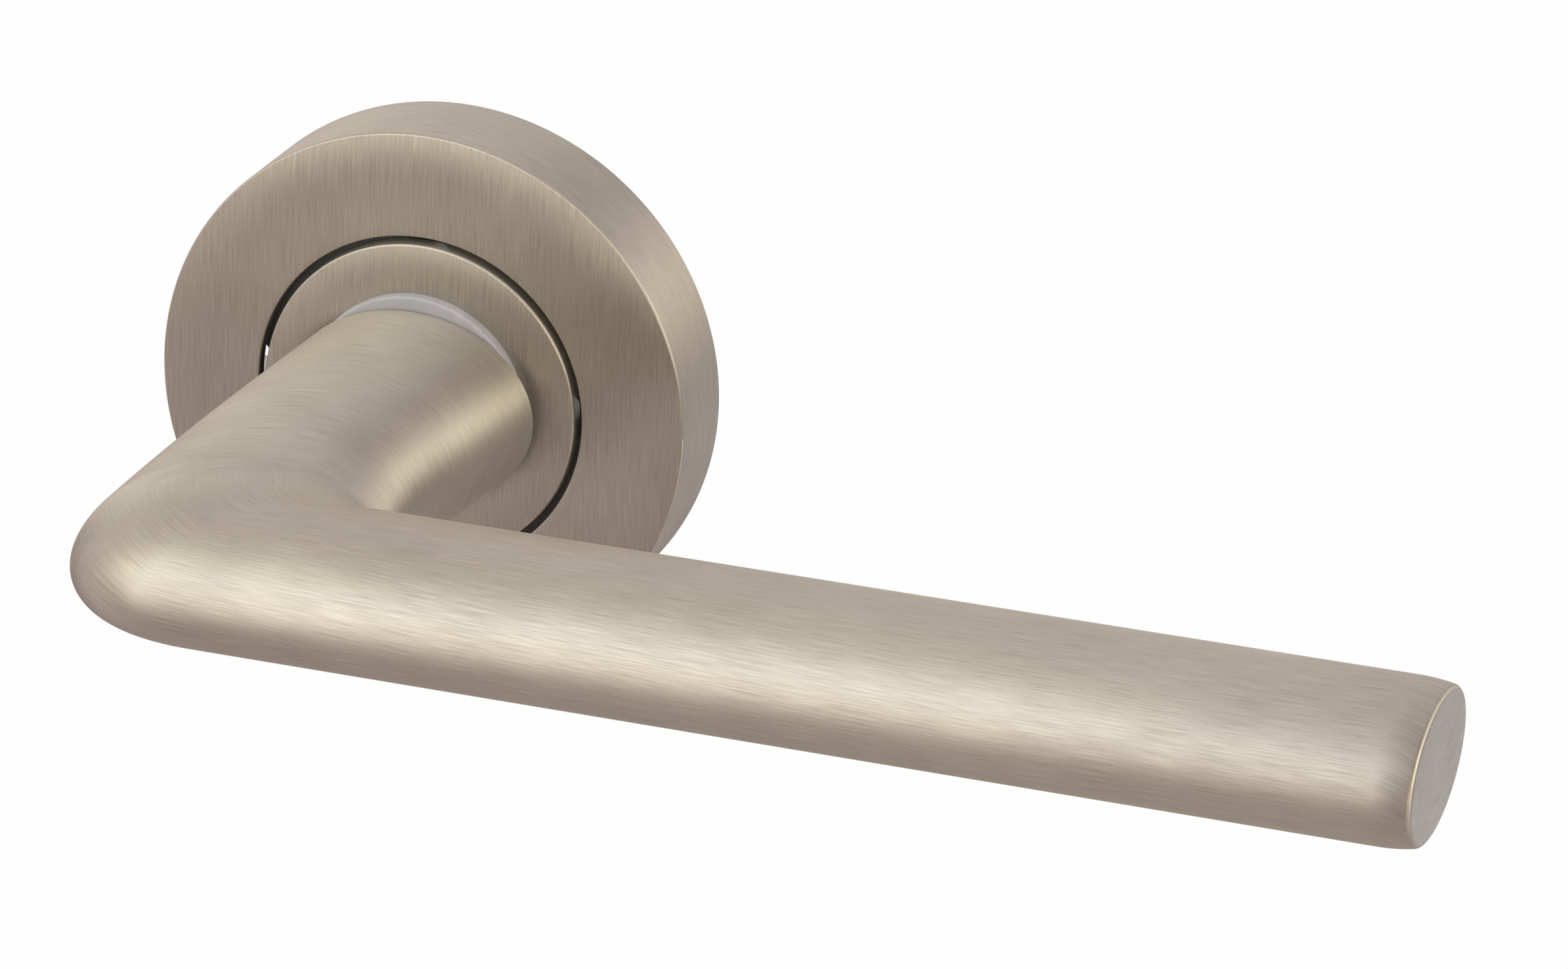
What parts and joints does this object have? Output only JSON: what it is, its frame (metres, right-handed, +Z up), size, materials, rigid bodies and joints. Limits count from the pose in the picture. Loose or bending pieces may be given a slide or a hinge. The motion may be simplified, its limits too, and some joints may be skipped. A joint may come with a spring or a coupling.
{
  "type": "door lever handle",
  "caption": "Sprung door lever handle on a round rose: a bent oval-bar lever turns a square spindle and springs back level.",
  "frame": {"origin": "on the spindle's axis, in the plane of the door's face", "axes": "+Z up, +X along the lever towards its tip, +Y into the door along the spindle, -Y towards the hand"},
  "size_m": [0.1342, 0.0996, 0.052],
  "materials": {
    "satin_nickel": "satin",
    "zinc_steel": "zinc plated",
    "spring_steel": "blackened",
    "sintered_steel": "as sintered",
    "grey_nylon": "moulded",
    "dark_nylon": "moulded, glass filled"
  },
  "bodies": {
    "rose": {"base_plate": "dark_nylon", "neck_collar": "satin_nickel", "neck_bush": "grey_nylon", "collar_screws": "zinc_steel", "bolt_eyelets": "zinc_steel", "spring_anchor_pin": "zinc_steel", "return_spring": "spring_steel", "rear_plate": "zinc_steel", "rear_plate_screws": "zinc_steel", "cover_snap_ring": "zinc_steel", "wave_washer": "zinc_steel"},
    "handle": {"lever": "satin_nickel", "spindle": "zinc_steel", "grub_screw": "spring_steel", "spring_driver": "sintered_steel", "thrust_washer": "zinc_steel", "circlip": "spring_steel"},
    "cover": {"rose_cover": "satin_nickel"}
  },
  "joints": [
    {"name": "lever_turn", "type": "hinge", "parent": "rose", "child": "handle", "pos_m": [0, 0, 0], "axis": [0, 1, 0], "range_deg": [-45, 45], "stiffness_Nm_per_rad": 2, "springref_deg": -2.69, "deforming": ["return_spring"]},
    {"name": "cover_slide", "type": "slide", "parent": "rose", "child": "cover", "axis": [0, -1, 0], "range_m": [0, 0.022]}
  ]
}
